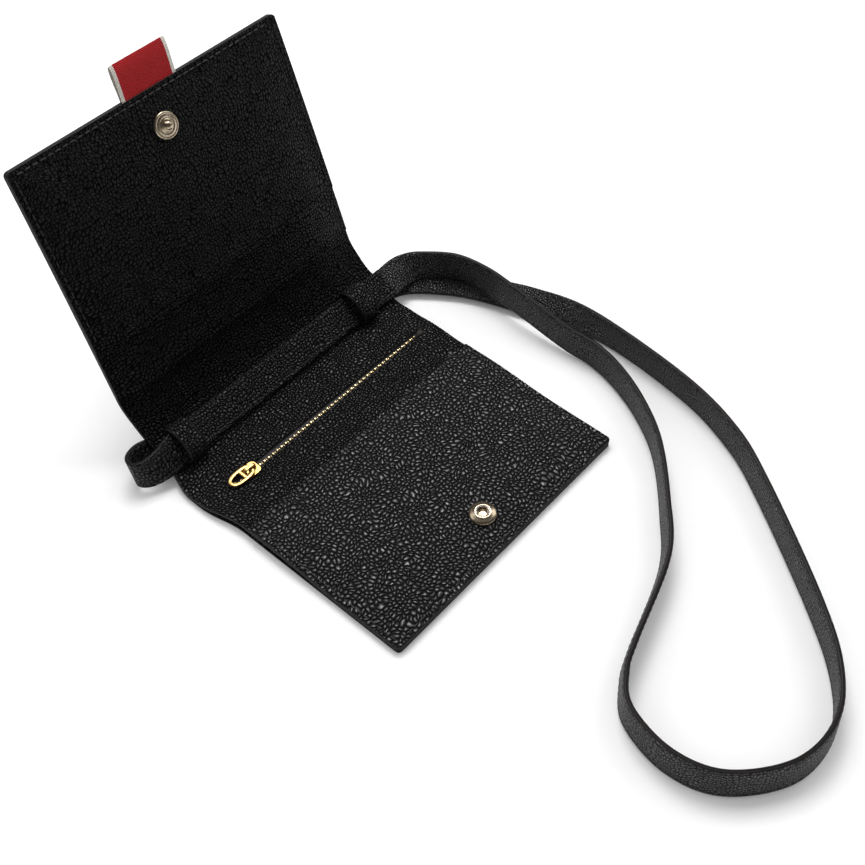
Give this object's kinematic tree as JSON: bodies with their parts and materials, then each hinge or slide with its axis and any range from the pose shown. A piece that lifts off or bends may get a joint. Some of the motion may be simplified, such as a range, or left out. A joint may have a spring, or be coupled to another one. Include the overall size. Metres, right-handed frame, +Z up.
{
  "type": "neck pouch wallet",
  "caption": "Open two-panel leather neck wallet with a zip pocket, slip and card pockets, a press snap, a ribbon tab and a long neck strap held along its spine by keepers.",
  "frame": {"origin": "on the resting plane, under the middle of the fold between the front panel and the spine", "axes": "+X along the spine towards the strap's exit, +Y from the front panel towards the flap, +Z up from the resting plane"},
  "size_m": [0.1761, 0.3014, 0.127],
  "materials": {
    "cover_leather": "black pebbled calf leather",
    "pocket_leather": "black pebbled calf leather, inside faces",
    "strap_leather": "black fine-grained leather with painted edges",
    "stiffener_board": "thin fibre board",
    "lining_fabric": "black twill lining",
    "zip_tape": "black woven zip tape",
    "zip_metal": "polished light gold",
    "snap_metal": "polished champagne gold",
    "ribbon": "crimson grosgrain with ivory selvedges",
    "thread": "black bonded thread"
  },
  "bodies": {
    "front_panel": {"front_cover": "cover_leather", "front_stiffener": "stiffener_board", "zip_pocket_lining": "lining_fabric", "zip_pocket_front": "pocket_leather", "zip_upper_facing": "pocket_leather", "slip_pocket_front": "pocket_leather", "inner_zip_tape": "zip_tape", "inner_zip_teeth": "zip_metal", "inner_zip_stops": "zip_metal", "snap_socket": "snap_metal", "snap_socket_spring": "snap_metal", "snap_socket_rivet": "snap_metal", "front_stitching": "thread"},
    "spine": {"spine_cover": "cover_leather", "spine_lining": "pocket_leather", "keeper_left": "strap_leather", "keeper_right": "strap_leather", "strap_spine_run": "strap_leather"},
    "flap": {"back_cover": "cover_leather", "back_stiffener": "stiffener_board", "back_zip_lining": "lining_fabric", "card_slot_base": "pocket_leather", "card_slot_lower": "pocket_leather", "card_slot_upper": "pocket_leather", "outer_zip_tape": "zip_tape", "outer_zip_teeth": "zip_metal", "outer_zip_stops": "zip_metal", "snap_stud": "snap_metal", "snap_stud_rivet": "snap_metal", "flap_stitching": "thread"},
    "ribbon": {"ribbon_tab": "ribbon"},
    "inner_slider": {"inner_slider_body": "zip_metal", "inner_slider_bridge": "zip_metal"},
    "inner_puller": {"inner_puller": "zip_metal"},
    "outer_slider": {"outer_slider_body": "zip_metal", "outer_slider_bridge": "zip_metal"},
    "outer_puller": {"outer_puller": "zip_metal"},
    "strap_loop": {"strap_loop": "strap_leather"}
  },
  "joints": [
    {"name": "spine_fold", "type": "hinge", "parent": "front_panel", "child": "spine", "pos_m": [0, 0, 0.00365], "axis": [1, 0, 0], "range_deg": [-33, 59.75]},
    {"name": "flap_fold", "type": "hinge", "parent": "spine", "child": "flap", "pos_m": [0, 0.0151, 0.01345], "axis": [1, 0, 0], "range_deg": [-33, 59.75]},
    {"name": "ribbon_flex", "type": "hinge", "parent": "flap", "child": "ribbon", "pos_m": [0, 0.05906, 0.11473], "axis": [1, 0, 0], "range_deg": [-40, 40], "stiffness_Nm_per_rad": 0.002},
    {"name": "inner_zip_slide", "type": "slide", "parent": "front_panel", "child": "inner_slider", "axis": [1, 0, 0], "range_m": [0, 0.09]},
    {"name": "inner_puller_swing", "type": "hinge", "parent": "inner_slider", "child": "inner_puller", "pos_m": [-0.0404, -0.018, 0.0054], "axis": [0, 1, 0], "range_deg": [-5, 185]},
    {"name": "outer_zip_slide", "type": "slide", "parent": "flap", "child": "outer_slider", "axis": [1, 0, 0], "range_m": [0, 0.098]},
    {"name": "outer_puller_swing", "type": "hinge", "parent": "outer_slider", "child": "outer_puller", "pos_m": [-0.0484, 0.02922, 0.02701], "axis": [0, -0.3907, -0.9205], "range_deg": [-20, 150]},
    {"name": "strap_lift", "type": "hinge", "parent": "front_panel", "child": "strap_loop", "pos_m": [0, 0.0075, 0.008], "axis": [-1, 0, 0], "range_deg": [0, 75]}
  ],
  "couplings": [
    {"joint": "flap_fold", "follows": "spine_fold", "ratio": 1}
  ]
}
